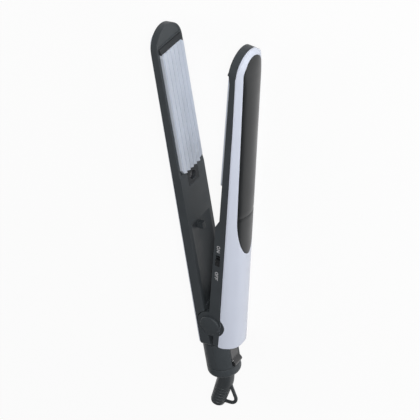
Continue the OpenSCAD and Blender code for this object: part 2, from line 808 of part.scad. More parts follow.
// Outer half of the tail collar, with the slider's recess.
module collar_cover() {
    color(dark) lay() difference() {
        intersection() {
            rod_y(tail_x, -tail_end, -tail_top, 0, tail_r);
            box([split_x + 0.15, -tail_end, -half], [40, -tail_top, half]);
        }
        difference() {
            rod_y(tail_x, -tail_end - 1, -tail_top - 1.5, 0, tail_in_r);
            box([rec_x - 1.8, -rec_lo - 1.6, -rec_hw - 1.5], [40, -tail_top, rec_hw + 1.5]);
            box([split_x, -32, post_z - 5], [split_x + 3, -27, post_z + post_hw]);
            box([split_x, -40.5, post_z - 5], [split_x + 3, -35.5, post_z + post_hw]);
        }
        box([rec_x, -rec_lo, -rec_hw], [40, -tail_top - 0.4, rec_hw]);
        box([tongue_x0 - 0.3, -lock_lo + 4, -4.2], [rec_x + 1, -lock_lo + 9 + lock_travel, 4.2]);
        box([tongue_x0 - 0.3, -lock_lo + 4, -4.2], [tongue_x1 + 0.3, -tail_top + 1, 4.2]);
        for (y = [-29.5, -38]) rod_x(split_x - 1, split_x + 6, y, post_z, screw_r);
    }
}

// Two screws that hold the halves of the collar together.
module collar_screws() {
    color(steel) lay() for (y = [-29.5, -38]) rod_x(split_x - 5, split_x + 3, y, post_z, screw_r);
}

// Rounded end cap of the tail with the swivel's bore and a spigot into the collar.
module tail_cap() {
    color(dark) lay() translate([tail_x, -cap_top, 0]) rotate([90, 0, 0]) difference() {
        rotate_extrude() union() {
            square([tail_r, cap_l - cap_round]);
            square([tail_r - cap_round, cap_l]);
            intersection() {
                translate([tail_r - cap_round, cap_l - cap_round]) circle(r = cap_round);
                square([tail_r, cap_l]);
            }
            translate([tail_in_r - 2.2, -2.4]) square([2, 2.4 + e]);
        }
        translate([0, 0, -8]) cylinder(h = cap_l + 12, r = stem_r + stem_clear);
        box([rec_x - 2 - tail_x, -20, -4], [30, 20, 0]);
    }
}

// Block with the swivel's contact rings, on the ends of the leads.
module contact_block() {
    color([0.75, 0.6, 0.25]) lay() translate([tail_x, -flange_y + 5.2, 0]) rotate([90, 0, 0]) difference() {
        cylinder(h = 3.1, r = min(5.2, tail_in_r - 4.9));
        translate([0, 0, -1]) cylinder(h = 5, r = bore_r);
    }
}

// Lock slider: a flat base with a hump at its lower end, a stem through the recess and the tongue.
module lock_slider() {
    g = rec_x + 0.15;
    color(black) lay() union() {
        side([[g, -lock_lo], [g + 2.4, -lock_lo], [g + 3.2, -lock_lo + 0.7], [g + 3.5, -lock_lo + 1.8],
            [g + 3.2, -lock_lo + 3], [g + 2.2, -lock_lo + 4.2], [g + 1, -lock_lo + 5.2],
            [g + 1, -lock_hi - 0.5], [g + 0.5, -lock_hi], [g, -lock_hi]], lock_w / 2);
        box([tongue_x0, -lock_lo + 4.4, -3.8], [g + e, -lock_lo + 8.6, 3.8]);
        box([tongue_x0, -lock_lo + 4.4, -3.8], [tongue_x1, -tail_top + 1, 3.8]);
    }
}

// Stem that turns in the end cap, with its captive flange.
module swivel_stem() {
    color(black) lay() translate([tail_x, 0, 0]) difference() {
        union() {
            rod_y(0, -stem_end, -flange_y + 2, 0, stem_r);
            rod_y(0, -flange_y - 0.9, -flange_y + 2, 0, tail_in_r - 2.5);
        }
        rod_y(0, -stem_end - 1, -flange_y + 3, 0, bore_r);
    }
}

// Ribbed rubber sleeve: neck, bend and tapering ribbed end, all bored for the cord.
module relief_sleeve() {
    color(black) lay() difference() {
        union() {
            rod_y(tail_x, -bend_y, -neck_y, 0, neck_r);
            elbow(neck_r - 0.1, 2.5);
            relief_end() rotate_extrude() relief_profile();
        }
        rod_y(tail_x, -bend_y - 0.5, -neck_y + 1, 0, bore_r);
        rod_y(tail_x, -stem_end, -neck_y + 1, 0, stem_r);
        elbow(bore_r + 0.1, 0);
        relief_end() translate([0, 0, -0.5]) cylinder(h = relief_l + 1, r = bore_r);
    }
}

// The bend of the relief with a section of radius r, run on by extra degrees at both ends.
module elbow(r, extra) {
    translate([bend_c, -bend_y, 0]) rotate([0, 0, -relief_bend - extra])
        rotate_extrude(angle = relief_bend + 2 * extra) translate([bend_r, 0]) circle(r = r);
}

// Places a piece at the end of the bend, with +Z along the relief.
module relief_end() {
    translate([out_x, out_y, 0]) rotate([0, 0, -relief_bend]) rotate([90, 0, 0]) children();
}

// Half section of the straight end of the sleeve.
module relief_profile() {
    y0 = relief_l - ribs * rib_pitch;
    taper = (neck_r - relief_end_r) / ribs;
    square([neck_r - 0.9, relief_l]);
    square([neck_r, y0 - 0.9]);
    for (k = [0 : ribs - 1]) translate([0, y0 + k * rib_pitch]) square([neck_r - taper * (k + 1), rib_pitch - 0.9]);
}

// Rubber hanging loop from the side of the neck to the end of the sleeve.
module hanging_loop() {
    a0 = -12;
    a1 = 90;
    len0 = 11.5;
    c_r = 5.4;
    p0 = [tail_x + 2.6, -bend_y - 10.4];
    p1 = [p0[0] - len0 * sin(a0), p0[1] - len0 * cos(a0)];
    c = [p1[0] - c_r * cos(a0), p1[1] + c_r * sin(a0)];
    p2 = [c[0] + c_r * cos(a1), c[1] - c_r * sin(a1)];
    color(black) lay() difference() {
        union() {
            strand(p0, a0, len0);
            translate([c[0], c[1], 0]) rotate([0, 0, -a1 - 6]) rotate_extrude(angle = a1 - a0 + 12)
                translate([c_r, 0]) circle(r = loop_r - 0.06);
            strand(p2, a1, 8);
        }
        relief_end() translate([0, 0, -12]) cylinder(h = relief_l + 14, r = relief_end_r);
    }
}

// A straight strand from p, heading a degrees off -Y towards -X.
module strand(p, a, l) {
    translate([p[0], p[1], 0]) rotate([0, 0, -a]) rotate([90, 0, 0]) cylinder(h = l, r = loop_r);
}

arm_a_frame();
arm_a_cover();
arm_a_inlay_front();
arm_a_inlay_rear();
plate_a();
carrier_a();
heater_a();
pads_a();
screw_a();
leads_a();
arm_b_frame();
arm_b_cover();
arm_b_inlay_front();
arm_b_inlay_rear();
plate_b();
carrier_b();
heater_b();
pads_b();
screw_b();
leads_b();
switch_knob();
switch_body();
switch_legend();
control_board();
hinge_pin();
hinge_cap_top();
hinge_cap_bottom();
return_spring();
collar_cover();
collar_screws();
tail_cap();
contact_block();
lock_slider();
swivel_stem();
relief_sleeve();
hanging_loop();
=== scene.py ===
"""Looks of the hair waver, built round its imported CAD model. Metres, in the row frame.

Sizes below are millimetres, as in the part's source. A point of an arm is (d, y, z):
d is the depth behind the jaw plane, y runs to the tip and z across the arm."""
import json
from math import acos, cos, floor, hypot, pi, radians, sin, sqrt

import bmesh
import bpy
from mathutils import Matrix, Vector


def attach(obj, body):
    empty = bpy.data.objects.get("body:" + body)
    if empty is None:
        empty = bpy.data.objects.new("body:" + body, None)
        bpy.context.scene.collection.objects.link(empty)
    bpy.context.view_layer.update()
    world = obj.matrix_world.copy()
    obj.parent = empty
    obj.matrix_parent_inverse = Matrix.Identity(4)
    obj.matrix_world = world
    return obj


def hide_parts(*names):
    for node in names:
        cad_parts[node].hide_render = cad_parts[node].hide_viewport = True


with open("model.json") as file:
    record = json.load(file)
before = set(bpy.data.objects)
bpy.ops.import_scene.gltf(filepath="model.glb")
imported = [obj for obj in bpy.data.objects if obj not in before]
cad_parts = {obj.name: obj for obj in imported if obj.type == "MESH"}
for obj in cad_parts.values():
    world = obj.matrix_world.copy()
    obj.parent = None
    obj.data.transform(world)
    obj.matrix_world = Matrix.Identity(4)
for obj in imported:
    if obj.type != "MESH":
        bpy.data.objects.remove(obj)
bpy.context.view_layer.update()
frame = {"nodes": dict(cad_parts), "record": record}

MM = 0.001

# ---------------------------------------------------------------- sizes
HALF = 14.0                           # half width of an arm, across z
LIFT = 15.9                           # the arms' middle above the floor
JAW_OFF = 2.25                        # from the hinge's axis to each jaw plane
OPEN = radians(13)                    # the moving arm's angle at rest
TIP_C = 212.0                         # centre of the round tips
SEAM_TIP, SEAM_HINGE = 6.8, 9.0       # depth of the cover's seam
SEAM_GROOVE, SEAM_INSET = 0.45, 0.7   # the seam's shadow line
BOSS_R = 10.4                         # hinge cheeks
WALL = 2.0

# The inlay: its rounded start, the length of that round, and where its two pieces meet.
INLAY_Y0, INLAY_END, INLAY_SPLIT = 65.0, 34.0, 98.5
INLAY_TIP, INLAY_HW, INLAY_GAP, INLAY_T = 10.3, 9.9, 0.15, 1.0
INLAY_EDGE, RECESS_EDGE = 0.3, 0.18

# How far before the tip's centre the back starts to fall, and how softly it does.
NOSE_RUN, NOSE_FLAT, NOSE_BLEND = 16.0, 6.0, 2.5
HEEL_BLEND = 0.4

# crown and radius of the back are given at the tip and at the hinge. nose: radius of the
# fall at the tip. corner, round: radii of the heel. notch: clearance round the hinge's
# cheeks. mouth: half width of the opening for the lock. soft: radius of the long edge.
ARMS = {
    "a": dict(crown=(11.9, 14.7), radius=(22.6, 22.6), nose=41, half=HALF - 0.8, heel=22.4,
              corner=5.0, round=0, notch=0, mouth=0, soft=0.9, body="fixed_arm"),
    "b": dict(crown=(14.2, 20.9), radius=(17.6, 14.5), nose=36, half=HALF, heel=18.3,
              corner=0.6, round=1.2, notch=BOSS_R + 0.25, mouth=5.4, soft=0.3,
              body="moving_arm"),
}

TAIL_X = -JAW_OFF - 3.1               # the tail's axis
TAIL_R, TAIL_END, TAIL_TOP = 12.1, 43.3, 21.4
CAP_TOP = TAIL_END + 0.6
CAP_L, CAP_ROUND, CAP_BORE = 8.2, 3.8, 5.46
NECK_Y = CAP_TOP + CAP_L + 0.2
NECK_L, NECK_R, BEND_R, BEND = 2.4, 6.1, 22.0, radians(24)
RELIEF_L, RELIEF_END_R, RIBS, RIB_PITCH, BORE_R = 22.5, 5.5, 6, 3.3, 3.1
RIB_GAP = 0.9                         # width and depth of the groove between two ribs
RELIEF_S = NECK_L + BEND_R * BEND + RELIEF_L
RIBS_START = RELIEF_S - RIBS * RIB_PITCH
LOOP_R, LOOP_TURN, LOOP_LEAN, LOOP_L, LOOP_BACK = 1.3, 5.4, radians(-12), 11.5, 7.5

LOCK_HW, TONGUE_HW, TONGUE_T, TONGUE_REACH = 4.5, 3.8, 1.7, 5.15
SWITCH_Y, KNOB_BACK, KNOB_L, KNOB_D, KNOB_HW = 60.2, 4.6, 5.4, 4.0, 1.6
KNOB_RIBS, KNOB_RIB_PITCH, KNOB_RIB_W = 5, 1.05, 0.75

RIDGES = {"a": 7, "b": 6}
RIDGE_PITCH, CREST, VALLEY, PLATE_T = 3.85, -0.35, 0.85, 2.0
PLATE_NEAR, PLATE_FAR, PLATE_HW = 120.5, 210.5, 11.7

# ---------------------------------------------------------------- camera
# The photograph's camera, solved from the hinge, the plates' corners and the tips.
CAM_PLACE = Vector((629.13, 772.32, 813.33)) * MM
CAM_RIGHT = Vector((0.834350, -0.139022, -0.533417))
CAM_BACK = Vector((0.510461, 0.560109, 0.652463))
SENSOR = 36.0
FOCAL_PX, FRAME_PX = 1853.56, 420

# ---------------------------------------------------------------- light
WORLD = 0.22
FLOOR_SHARE = 0.92                    # how much of the floor's colour is plain white when seen
AIM = (0.03, 0.08, 0.0)
# Name, place, watts and size of each lamp; all look at AIM.
LAMPS = (("key", (0.85, 0.95, 1.0), 16, 0.35),
         ("side", (1.6, 0.2, 0.35), 6, 0.6),
         ("fill", (-1.5, 0.1, 0.45), 7, 0.8))


def make_camera():
    data = bpy.data.cameras.new("camera")
    data.sensor_width = SENSOR
    data.lens = SENSOR * FOCAL_PX / FRAME_PX
    data.clip_start, data.clip_end = 0.05, 20
    cam = bpy.data.objects.new("camera", data)
    up = CAM_BACK.cross(CAM_RIGHT)
    turn = Matrix((CAM_RIGHT, up, CAM_BACK)).transposed().to_4x4()
    cam.matrix_world = Matrix.Translation(CAM_PLACE) @ turn
    bpy.context.collection.objects.link(cam)
    bpy.context.scene.camera = cam


# ---------------------------------------------------------------- materials
def principled(name):
    mat = bpy.data.materials.new(name)
    mat.use_nodes = True
    return mat, mat.node_tree, mat.node_tree.nodes["Principled BSDF"]


def node(tree, kind, **values):
    made = tree.nodes.new(kind)
    for key, value in values.items():
        if key in made.inputs:
            made.inputs[key].default_value = value
        else:
            setattr(made, key, value)
    return made


def mapped(tree, source, low, high, lo=0.0, hi=1.0):
    """source, remapped from lo-hi to low-high."""
    m = node(tree, "ShaderNodeMapRange")
    m.inputs["From Min"].default_value, m.inputs["From Max"].default_value = lo, hi
    m.inputs["To Min"].default_value, m.inputs["To Max"].default_value = low, high
    tree.links.new(source, m.inputs["Value"])
    return m.outputs["Result"]


def surface(name, colour, rough, grain=900, depth=0.03, vary=0.06, wear=0.25, coat=0.0,
            metallic=0.0, round_mm=0.25, specular=0.5, brushed=1.0):
    """Moulded or coated surface: cloudy colour, fine grain, soft edges that are slightly worn.

    grain and depth are the fine bump's scale and strength, vary how far the colour strays,
    wear how much the edges lighten, and brushed how far the grain is drawn out along y."""
    mat, tree, bsdf = principled(name)
    links = tree.links
    place = node(tree, "ShaderNodeTexCoord").outputs["Object"]
    cloud = node(tree, "ShaderNodeTexNoise", Scale=55.0, Detail=3.0, Roughness=0.6)
    fine = node(tree, "ShaderNodeTexNoise", Scale=float(grain), Detail=2.0)
    stretch = node(tree, "ShaderNodeMapping")
    stretch.inputs["Scale"].default_value = (1.0, 1.0 / brushed, 1.0)
    links.new(place, stretch.inputs["Vector"])
    links.new(place, cloud.inputs["Vector"])
    links.new(stretch.outputs["Vector"], fine.inputs["Vector"])
    soft = node(tree, "ShaderNodeBevel", samples=4, Radius=round_mm * MM)
    # Edge mask: how far the rounded normal leans away from the true one.
    geo = node(tree, "ShaderNodeNewGeometry")
    dot = node(tree, "ShaderNodeVectorMath", operation="DOT_PRODUCT")
    links.new(soft.outputs["Normal"], dot.inputs[0])
    links.new(geo.outputs["Normal"], dot.inputs[1])
    edge = mapped(tree, dot.outputs["Value"], wear, 0.0, 0.75, 0.97)
    dark = [c * (1 - vary) for c in colour]
    light = [min(1.0, c * (1 + vary)) for c in colour]
    base = node(tree, "ShaderNodeMix", data_type="RGBA")
    links.new(mapped(tree, cloud.outputs["Fac"], 0.0, 1.0, 0.35, 0.65), base.inputs[0])
    base.inputs[6].default_value, base.inputs[7].default_value = (*dark, 1), (*light, 1)
    worn = node(tree, "ShaderNodeMix", data_type="RGBA")
    links.new(edge, worn.inputs[0])
    links.new(base.outputs[2], worn.inputs[6])
    worn.inputs[7].default_value = (*[c + (1 - c) * 0.35 for c in colour], 1)
    links.new(worn.outputs[2], bsdf.inputs["Base Color"])
    patchy = mapped(tree, cloud.outputs["Fac"], rough * 0.88, rough * 1.15, 0.3, 0.7)
    links.new(patchy, bsdf.inputs["Roughness"])
    bump = node(tree, "ShaderNodeBump", Strength=depth, Distance=0.0004)
    links.new(fine.outputs["Fac"], bump.inputs["Height"])
    links.new(soft.outputs["Normal"], bump.inputs["Normal"])
    links.new(bump.outputs["Normal"], bsdf.inputs["Normal"])
    bsdf.inputs["Metallic"].default_value = metallic
    bsdf.inputs["Specular IOR Level"].default_value = specular
    if coat:
        bsdf.inputs["Coat Weight"].default_value = coat
        bsdf.inputs["Coat Roughness"].default_value = 0.12
    return mat


def make_materials():
    return {
        "dark_shell": surface("dark_shell", (0.046, 0.053, 0.059), 0.45, grain=1500,
                              depth=0.06, wear=0.12, specular=0.3),
        "lilac_shell": surface("lilac_shell", (0.65, 0.69, 0.80), 0.34, depth=0.006,
                               vary=0.008, wear=0.1, coat=0.3, specular=0.4),
        "inlay": surface("inlay", (0.009, 0.0105, 0.012), 0.32, grain=2200, depth=0.03,
                         wear=0.08, specular=0.55),
        "plate_coating": surface("plate_coating", (0.74, 0.79, 0.88), 0.36, grain=2500,
                                 depth=0.04, vary=0.02, wear=0.15, metallic=0.35,
                                 round_mm=0.12, brushed=12.0),
        "carrier": surface("carrier", (0.028, 0.031, 0.035), 0.55, depth=0.08, wear=0.1,
                           specular=0.3),
        "gloss_black": surface("gloss_black", (0.010, 0.011, 0.013), 0.2, depth=0.01,
                               wear=0.12, specular=0.6, coat=0.4),
        "heater": surface("heater", (0.5, 0.5, 0.52), 0.4, metallic=1.0),
        "silicone": surface("silicone", (0.6, 0.58, 0.55), 0.7),
        "steel": surface("steel", (0.56, 0.56, 0.58), 0.3, metallic=1.0, brushed=6.0),
        "lettering": surface("lettering", (0.55, 0.55, 0.57), 0.6, wear=0.0),
        "board": surface("board", (0.02, 0.12, 0.05), 0.4),
        "contact": surface("contact", (0.75, 0.55, 0.22), 0.3, metallic=1.0),
        "relief_rubber": surface("relief_rubber", (0.034, 0.039, 0.043), 0.42, grain=1200,
                                 depth=0.1, wear=0.1),
    }


def dress_nodes(mats):
    """Every CAD node gets the material of its slot in the record."""
    for part in frame["record"]["subparts"]:
        obj = frame["nodes"][part["node"]]
        obj.data.materials.clear()
        obj.data.materials.append(mats[part["material_slot"]])


# ---------------------------------------------------------------- places
def on_arm_a(d, y, z):
    return Vector((-JAW_OFF - d, y, z + LIFT)) * MM


def on_arm_b(d, y, z):
    x = d - JAW_OFF
    return Vector((x * cos(OPEN) + y * sin(OPEN), y * cos(OPEN) - x * sin(OPEN), z + LIFT)) * MM


def in_row(x, y, z):
    return Vector((x, y, z + LIFT)) * MM


PLACE = {"a": on_arm_a, "b": on_arm_b}


# ---------------------------------------------------------------- mesh tools
class Shape:
    """Vertices and faces gathered in millimetres and turned into one object."""

    def __init__(self, place):
        self.place, self.verts, self.faces = place, [], []

    def grid(self, rows, closed=False):
        """Quads between neighbouring rows of points; closed joins each row's ends."""
        start, width = len(self.verts), len(rows[0])
        for row in rows:
            self.verts.extend(self.place(*p) for p in row)
        for j in range(len(rows) - 1):
            for k in range(width if closed else width - 1):
                a, b = start + j * width + k, start + j * width + (k + 1) % width
                self.faces.append((a, b, b + width, a + width))

    def fan(self, points):
        """One flat face through the points."""
        start = len(self.verts)
        self.verts.extend(self.place(*p) for p in points)
        self.faces.append(tuple(range(start, start + len(points))))

    def make(self, name, body, slot, nodes, sharp=32.0, bevel=0.0):
        mesh = bpy.data.meshes.new(name)
        mesh.from_pydata(self.verts, [], self.faces)
        bm = bmesh.new()
        bm.from_mesh(mesh)
        bmesh.ops.remove_doubles(bm, verts=bm.verts, dist=0.004 * MM)
        bmesh.ops.dissolve_degenerate(bm, edges=bm.edges, dist=0.002 * MM)
        bmesh.ops.recalc_face_normals(bm, faces=bm.faces)
        bm.to_mesh(mesh)
        bm.free()
        mesh.shade_smooth()
        mesh.set_sharp_from_angle(angle=radians(sharp))
        obj = bpy.data.objects.new(name, mesh)
        bpy.context.collection.objects.link(obj)
        obj.data.materials.append(MATS[slot])
        if bevel:
            mod = obj.modifiers.new("rounded", "BEVEL")
            mod.width, mod.segments, mod.limit_method = bevel * MM, 3, "ANGLE"
            mod.angle_limit = radians(30)
            mod.harden_normals = True
        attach(obj, body)
        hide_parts(*nodes)
        return obj


def along(a, b, n):
    """n equal steps from a to b, both ends included."""
    return [a + (b - a) * i / n for i in range(n + 1)]


def soft_min(a, b, k):
    """The lesser of a and b, rounded off where they are within k of each other."""
    h = min(1.0, max(0.0, 0.5 + 0.5 * (b - a) / k))
    return b + (a - b) * h - k * h * (1 - h)


# ---------------------------------------------------------------- covers and inlays
def line_at(ends, y):
    """A value that runs straight from the tip's centre to the hinge."""
    tip, hinge = ends
    return hinge + (tip - hinge) * y / TIP_C


def seam(y):
    return line_at((SEAM_TIP, SEAM_HINGE), y)


def back_height(arm, y, z):
    """Depth of an arm's rounded back at (y, z)."""
    top, r = line_at(arm["crown"], y), line_at(arm["radius"], y)
    d = top - r + sqrt(max(r * r - z * z, 0))
    if y > TIP_C - NOSE_RUN:
        nose, ridge = arm["nose"], line_at(arm["crown"], min(y, TIP_C))
        away = max(0, y - TIP_C + NOSE_FLAT) ** 2 + z * z
        blend = NOSE_BLEND * min(1, (y - TIP_C + NOSE_RUN + 0.01) / NOSE_RUN)
        d = soft_min(d, ridge - nose + sqrt(max(nose * nose - away, 0)), blend)
    heel_r = arm["round"]
    if heel_r and y < heel_r - arm["heel"]:
        low = line_at(arm["crown"], -arm["heel"]) - heel_r
        fall = sqrt(max(heel_r ** 2 - (y + arm["heel"] - heel_r) ** 2, 0))
        d = soft_min(d, low + fall, HEEL_BLEND)
    return d


def half_width(arm, y):
    """Half width of an arm's cover, with the heel's rounded corners."""
    corner = arm["corner"]
    turn = corner - arm["heel"]
    if y >= turn:
        return arm["half"]
    return arm["half"] - corner + sqrt(max(corner ** 2 - (y - turn) ** 2, 0))


def inlay_width(y, grow):
    """Half width of the inlay, grown by grow; 0 outside it."""
    low = INLAY_Y0 + INLAY_END
    if y <= low - INLAY_END - grow:
        return 0.0
    if y < low:
        return (INLAY_HW + grow) * sqrt(1 - ((low - y) / (INLAY_END + grow)) ** 2)
    return INLAY_HW + grow + (INLAY_TIP - INLAY_HW) * (y - low) / (TIP_C - low)


def edge_drop(q, r):
    """How far a rounded edge of radius r lies below its surface, q from the side."""
    return 0.0 if q >= r else r - sqrt(r * r - (r - q) ** 2)


def cover_stations(arm):
    """Places along a cover: ("y", y) across the straight part and ("t", angle) round the tip."""
    heel, corner = arm["heel"], arm["corner"]
    ys = [-heel + corner * (1 - cos(a)) for a in along(0, pi / 2, 8)]
    ys += along(-heel, -heel + 7.5, 12) + along(-heel + 8, 62, 74)
    recess_end = INLAY_END + INLAY_GAP
    ys += [INLAY_Y0 - INLAY_GAP + recess_end * (1 - cos(a)) for a in along(0, pi / 2, 34)]
    ys += along(100, TIP_C - 12, 50) + along(TIP_C - 11, TIP_C, 16)
    if arm["notch"]:
        reach = sqrt(arm["notch"] ** 2 - (SEAM_HINGE - JAW_OFF) ** 2)
        ys += [reach, -reach]
    ys = sorted(ys)
    ys = [y for i, y in enumerate(ys) if i == 0 or y - ys[i - 1] > 0.02]
    return [("y", y) for y in ys] + [("t", a) for a in along(pi / 2, 0, 36)[1:]]


def low_edge(arm, y):
    """Where a cover's side wall ends: at the seam, or round the hinge's boss."""
    d, r = seam(y), arm["notch"]
    if abs(y) < r:
        d = max(d, JAW_OFF + sqrt(r * r - y * y))
    return d


def make_cover(key):
    """A cover: rounded back with the inlay's recess, side walls, seam and heel's end."""
    arm = ARMS[key]
    shape = Shape(PLACE[key])
    columns = [1 - (1 - v) ** 1.6 for v in along(0, 1, 16)]
    for side in (-1, 1):
        rows, recess = [], []
        for kind, at in cover_stations(arm):
            wide = half_width(arm, at) if kind == "y" else arm["half"]
            slim = inlay_width(at, INLAY_GAP) if kind == "y" else INLAY_TIP + INLAY_GAP
            row = []
            for v in columns:
                r = slim + (wide - slim) * v
                y, z = (at, r) if kind == "y" else (TIP_C + r * cos(at), r * sin(at))
                drop = edge_drop(wide - r, arm["soft"])
                if slim > 0.5:
                    drop += edge_drop(r - slim, RECESS_EDGE)
                row.append((back_height(arm, y, z) - drop, y, side * z))
            top, y, z = row[-1]
            low = min(low_edge(arm, y), top - 0.6) if kind == "y" else seam(y)
            lip = low + SEAM_GROOVE
            row += [(top + (lip - top) * f, y, z) for f in (0.25, 0.5, 0.75, 1)]
            for d, inset in ((lip, SEAM_INSET), (low, SEAM_INSET), (low, WALL)):
                inward = (wide - inset) / wide
                in_y = y if kind == "y" else TIP_C + (y - TIP_C) * inward
                row.append((d, in_y, z * inward))
            rows.append(row)
            if slim > 0.01:
                d, y, z = row[0]
                recess.append([(d, y, z), (d - INLAY_T, y, z)])
        shape.grid(rows)
        shape.grid(recess)
    # End wall of the heel, open in the middle where the lock's tongue goes in.
    y, mouth = -arm["heel"], arm["mouth"]
    end, wide = [], half_width(arm, y)
    for z in sorted(set(along(-wide, wide, 28) + [-mouth, mouth])):
        top = back_height(arm, y, z)
        low = top - 0.4 if abs(z) < mouth else seam(y)
        end.append([(top + (low - top) * f, y, z) for f in (0, 0.5, 1)])
    shape.grid(end)
    shape.make(f"cover_{key}", arm["body"], "lilac_shell", [f"arm_{key}_cover"])


def make_inlay(key, part, y0, y1):
    """One inlay piece with a rounded edge; y1 None runs it round the tip."""
    arm = ARMS[key]
    shape = Shape(PLACE[key])
    starts_round = y0 < INLAY_Y0 + 1
    near_edge = [-0.985, 0.985, -0.97, 0.97]
    vs = sorted(set([round(sin(a), 5) for a in along(-pi / 2, pi / 2, 30)] + near_edge))
    ys = along(y0, y1 if y1 else TIP_C, 44)
    if y1 and starts_round:
        last = acos((INLAY_Y0 + INLAY_END - y1) / INLAY_END)
        ys = [INLAY_Y0 + INLAY_END * (1 - cos(a)) for a in along(0, last, 40)]
    rows = []
    for y in ys:
        w = inlay_width(y, 0)
        row = []
        for v in vs:
            z = w * v
            to_side = w - abs(z)
            q = min(to_side, y1 - y if y1 else to_side, to_side if starts_round else y - y0)
            row.append((back_height(arm, y, z) - edge_drop(max(q, 0), INLAY_EDGE), y, z))
        rows.append(row)
    if not y1:
        w = INLAY_TIP
        for t in [0.06 * i for i in range(1, 15)] + [0.88, 0.92, 0.95, 0.97, 0.985, 1.0]:
            row = []
            for v in vs:
                z = w * v
                y = TIP_C + t * sqrt(max(w * w - z * z, 0))
                q = w - hypot(y - TIP_C, z)
                row.append((back_height(arm, y, z) - edge_drop(max(q, 0), INLAY_EDGE), y, z))
            rows.append(row)
    shape.grid(rows)
    rim = [row[0] for row in rows] + rows[-1]
    rim += [row[-1] for row in reversed(rows)] + list(reversed(rows[0]))
    shape.grid([rim, [(d - INLAY_T + INLAY_EDGE, y, z) for d, y, z in rim]])
    shape.make(f"inlay_{key}_{part}", arm["body"], "inlay", [f"arm_{key}_inlay_{part}"],
               sharp=50)


# ---------------------------------------------------------------- round pieces
def ring(radius, n):
    return [(radius * cos(2 * pi * i / n), radius * sin(2 * pi * i / n)) for i in range(n)]


def lathe(name, profile, place, body, slot, nodes, n=96, sharp=32.0):
    """A piece turned from (radius, height) points; place takes (u, v, height)."""
    shape = Shape(place)
    shape.grid([[(u, v, h) for u, v in ring(max(r, 0.0001), n)] for r, h in profile], closed=True)
    return shape.make(name, body, slot, nodes, sharp)


def arc_profile(cx, cy, r, a0, a1, n=10):
    return [(cx + r * cos(a), cy + r * sin(a)) for a in along(radians(a0), radians(a1), n)]


def dome_profile(radius, rise, height, n=14):
    """A shallow dome of that radius, from its centre down to height."""
    return [(radius * f, height + rise * (1 - f * f)) for f in along(0, 1, n)]


def make_hinge_caps():
    """The domed cap over the hinge, and the flat one under it."""
    r, h, edge, base = 7.4, 1.7, 0.7, HALF + 0.2
    spigot = [(2.9, 0), (2.9, -0.6), (0, -0.6)]
    top = dome_profile(r - edge, 0.7, h) + arc_profile(r - edge, h - edge, edge, 80, 0)
    lathe("cap_top", top + [(r, 0)] + spigot, lambda u, v, w: in_row(u, v, base + w),
          "fixed_arm", "dark_shell", ["hinge_cap_top"])
    r, edge = 8.4, 0.5
    low = [(0, h), (r - edge, h)] + arc_profile(r - edge, h - edge, edge, 90, 0, 6)
    lathe("cap_bottom", low + [(r, 0)] + spigot, lambda u, v, w: in_row(u, v, -base - w),
          "fixed_arm", "dark_shell", ["hinge_cap_bottom"])


def make_tail_cap():
    r, flat = TAIL_R, CAP_L - CAP_ROUND
    profile = [(CAP_BORE, CAP_L), (CAP_BORE + 0.3, CAP_L), (r - CAP_ROUND, CAP_L)]
    profile += arc_profile(r - CAP_ROUND, flat, CAP_ROUND, 90, 0, 14)
    profile += [(r, 0.2), (r - 0.2, 0), (8, 0), (CAP_BORE, 0), (CAP_BORE, CAP_L)]
    lathe("end_cap", profile, lambda u, v, w: in_row(TAIL_X + u, -CAP_TOP - w, v),
          "fixed_arm", "dark_shell", ["tail_cap"])


def relief_point(s):
    """Centre of the relief, s from the neck, and the angle it heads off -Y."""
    if s <= NECK_L:
        return TAIL_X, -NECK_Y - s, 0.0
    a = min((s - NECK_L) / BEND_R, BEND)
    x = TAIL_X - BEND_R + BEND_R * cos(a)
    y = -NECK_Y - NECK_L - BEND_R * sin(a)
    rest = max(s - NECK_L - BEND_R * BEND, 0)
    return x - rest * sin(a), y - rest * cos(a), a


def relief_radius(s):
    """Radius of the relief, s from the neck: plain, then ribs that taper to the end."""
    straight = s - RIBS_START
    if straight < -RIB_GAP:
        return NECK_R
    taper = (NECK_R - RELIEF_END_R) / RIBS
    k = max(0, min(RIBS - 1, floor(straight / RIB_PITCH)))
    along_rib = straight - k * RIB_PITCH
    full = NECK_R - taper * (k + 1 if straight > 0 else 0)
    into = min(along_rib, RIB_PITCH - RIB_GAP - along_rib) if straight >= 0 else -1
    if into <= 0:
        return NECK_R - RIB_GAP
    return full - edge_drop(into, 0.35)


def tube(shape, stations, n):
    """A round tube through (x, y, angle, radius) stations in the plane of the relief."""
    rows = []
    for x, y, a, r in stations:
        rows.append([(x + u * cos(a), y - u * sin(a), v) for u, v in ring(r, n)])
    shape.grid(rows, closed=True)


def make_relief():
    """The bent cord relief, ribbed towards its end, with the cord's bore."""
    rib_steps = (-0.92, -0.88, -0.02, 0.02, 0.1, 0.3, 2.0, 2.2, 2.28)
    steps = along(0, RELIEF_S, 150)
    steps += [RIBS_START + k * RIB_PITCH + e for k in range(RIBS) for e in rib_steps]
    outer = []
    for s in sorted(set(steps)):
        if 0 <= s <= RELIEF_S:
            r = relief_radius(s) if s < RELIEF_S - 0.01 else NECK_R - RIB_GAP
            outer.append((*relief_point(s), r))
    inner = [(*relief_point(s), BORE_R) for s in reversed(along(0, RELIEF_S, 40))]
    shape = Shape(in_row)
    tube(shape, outer + inner + outer[:1], 56)
    shape.make("relief", "relief", "relief_rubber", ["relief_sleeve"], sharp=40)


